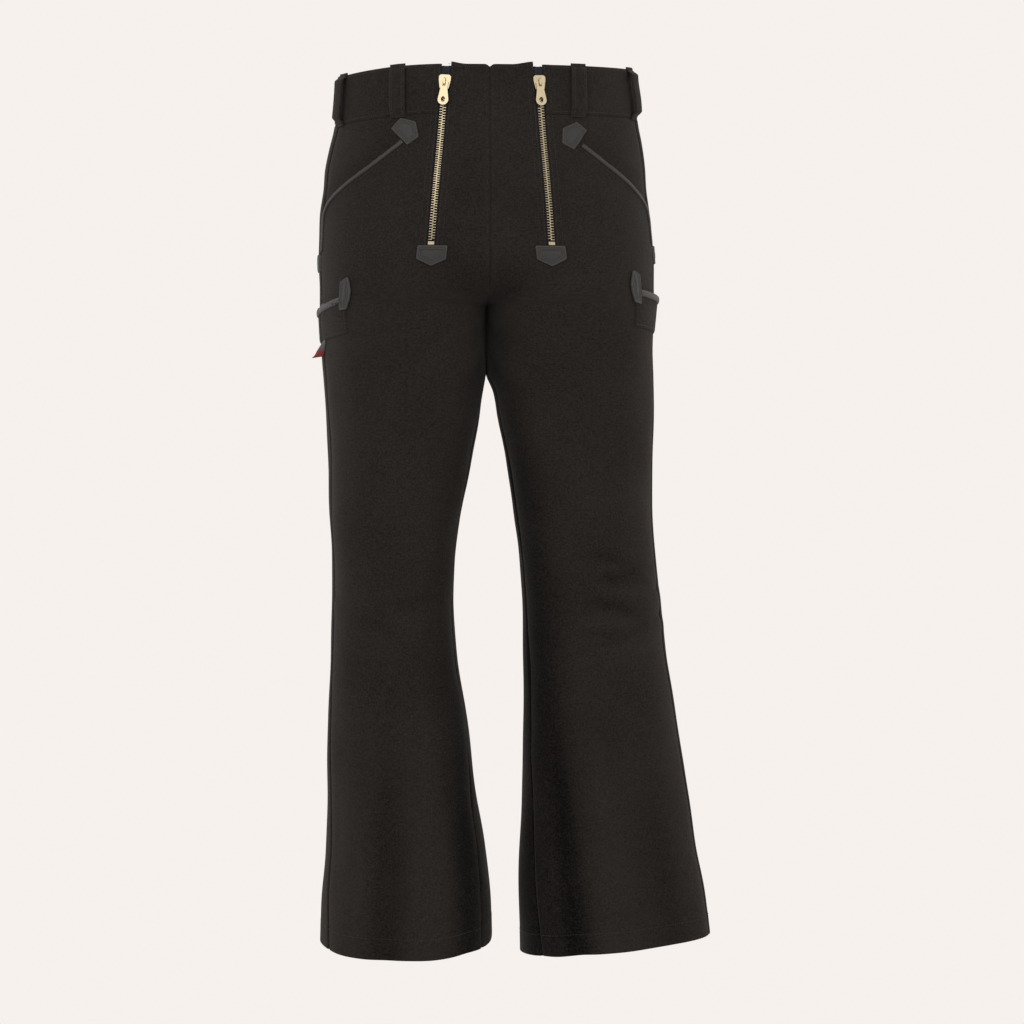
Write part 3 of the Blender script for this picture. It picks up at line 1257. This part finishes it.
def sew_loop(name, side, place, stand, base):
    """A belt loop's stitches; without a place, the loop lies across the centre back seam."""
    def stitch(z, across, above, **size):
        t = (LOOP_TOP - z) / (LOOP_TOP - LOOP_BOTTOM)
        out = base + stand * loop_lift(t) + LOOP_THICKNESS + above
        if place is None:
            points, s = across_back(z, across, out), back_seam(side, z) - np.abs(across)
        else:
            points, s = None, place(side, z) + across
        sew(name, side, z, s, out, points=points, **size)

    z = span(LOOP_TOP - 2, LOOP_BOTTOM + 2, 1.5)
    for across in (-5.9, 5.9):
        stitch(z, across + 0 * z, ON_CLOTH)
    across = np.linspace(-7.6, 7.6, 9)
    for height in (LOOP_TOP - 4.5, LOOP_TOP - 6, LOOP_BOTTOM + 4.5, LOOP_BOTTOM + 6):
        stitch(height + 0 * across, across, 0.0, pitch=1.5, length=1.3)


# ---------- the garment ----------

for side in SIDES:
    front_panel(side)
    back_panel(side)
    waistband(side)
    for loop_name, (place, stand) in LOOPS.items():
        belt_loop(side, loop_name, place, stand)
    ruler_pocket(side)
    mouth_piping(side)
    ruler_piping(side)
    mouth_s, mouth_level, mouth_turn = POCKET_PATCH[side]
    patch(side, "pocket_patch", "house", mouth_level, lambda z: mouth_s + 0 * z, 0.3, mouth_turn)
    patch(side, "lower_patch", "lower", LOWER_PATCH_Z[side],
          lambda z: side_seam(side, z) + 9, 0.3)
    patch(side, "ruler_patch", "ruler", RULER_TOP["front"] + RULER_RISE[side] + 2.5,
          lambda z: side_seam(side, z) + RULER_FRONT[side], 0.9 + CLOTH)
    patch(side, "fly_patch", "fly", FLY_PATCH_Z,
          lambda z: zip_line(side, z) + FLY_PATCH_BESIDE, 0.6)
    zip_tape(side)
    zip_teeth(side)
    softened(f"{side}_zip_stop", 0.5)
    softened(f"{side}_zip_slider", 0.3)
    softened(f"{side}_zip_pull", 0.28, f"{side}_pull")
    sew_side(side)
centre_back_loop()
label_tab("right")
sew_loop("right_cloth_stitches", "right", None, CENTRE_LOOP_STAND, CENTRE_LOOP_BASE)
make_threads()

# ---------- studio ----------

PALE, WARM = (0.922, 0.877, 0.847), (1, 0.98, 0.95)
FLOOR_Z, FLOOR_RADIUS = -1.3, 6.0
# The camera's lens, its place, and the directions of the picture's right side and top.
LENS, SENSOR, CAMERA_PLACE = 73.24, 36.0, (-0.10028, -2.49818, -0.36)
CAMERA_RIGHT, CAMERA_UP = Vector((0.99863, -0.05234, 0)), Vector((0.00294, 0.05614, 0.99842))

floor_mesh = bpy.data.meshes.new("floor")
floor_work = bmesh.new()
bmesh.ops.create_circle(floor_work, cap_ends=True, segments=96, radius=FLOOR_RADIUS)
floor_work.to_mesh(floor_mesh)
floor_work.free()
floor = bpy.data.objects.new("floor", floor_mesh)
floor.location = (0, 0, FLOOR_Z)
bpy.context.scene.collection.objects.link(floor)
floor_material = bpy.data.materials.new("floor_pale")
floor_material.use_nodes = True
tree = floor_material.node_tree
tree.nodes.clear()
reach = node(tree, "VectorMath", {0: node(tree, "TexCoord", output="Object")}, "Value",
             operation="LENGTH")
fade = node(tree, "MapRange", {"Value": reach, "From Min": 0.15, "From Max": 0.6},
            interpolation_type="SMOOTHSTEP")
speckle = node(tree, "TexNoise", {"Scale": 30.0, "Detail": 3.0})
lit = node(tree, "BsdfDiffuse", {"Color": (0.85, 0.82, 0.80, 1), "Roughness": speckle})
glow = node(tree, "Emission", {"Color": (*PALE, 1), "Strength": 1.0})
mixed = node(tree, "MixShader", {0: fade, 1: lit, 2: glow})
output = tree.nodes.new("ShaderNodeOutputMaterial")
tree.links.new(mixed, output.inputs["Surface"])
floor_mesh.materials.append(floor_material)

world = bpy.data.worlds.new("studio")
bpy.context.scene.world = world
world.use_nodes = True
world.node_tree.nodes["Background"].inputs["Color"].default_value = (*PALE, 1)
world.node_tree.nodes["Background"].inputs["Strength"].default_value = 1.0


def area_light(name, place, aim, width, height, power):
    data = bpy.data.lights.new(name, "AREA")
    data.shape, data.size, data.size_y = "RECTANGLE", width, height
    data.energy, data.color = power, WARM
    light = bpy.data.objects.new(name, data)
    bpy.context.scene.collection.objects.link(light)
    light.location = place
    light.rotation_euler = (Vector(aim) - Vector(place)).to_track_quat("-Z", "Y").to_euler()


area_light("key", (-1.3, -2.6, 1.1), (0, 0, -0.4), 2.6, 2.6, 42)
area_light("fill", (1.8, -2.0, 0.2), (0, 0, -0.6), 2.2, 2.6, 16)
area_light("rim_left", (-2.2, 1.0, 0.2), (0, 0, -0.5), 1.0, 2.4, 6)
area_light("rim_right", (2.2, 1.0, 0.2), (0, 0, -0.5), 1.0, 2.4, 6)

bpy.context.scene.view_settings.view_transform = "Standard"
camera = bpy.data.objects.new("camera", bpy.data.cameras.new("camera"))
camera.data.lens, camera.data.sensor_width = LENS, SENSOR
turn = Matrix((CAMERA_RIGHT, CAMERA_UP, CAMERA_RIGHT.cross(CAMERA_UP))).transposed()
camera.matrix_world = Matrix.Translation(CAMERA_PLACE) @ turn.to_4x4()
bpy.context.scene.collection.objects.link(camera)
bpy.context.scene.camera = camera
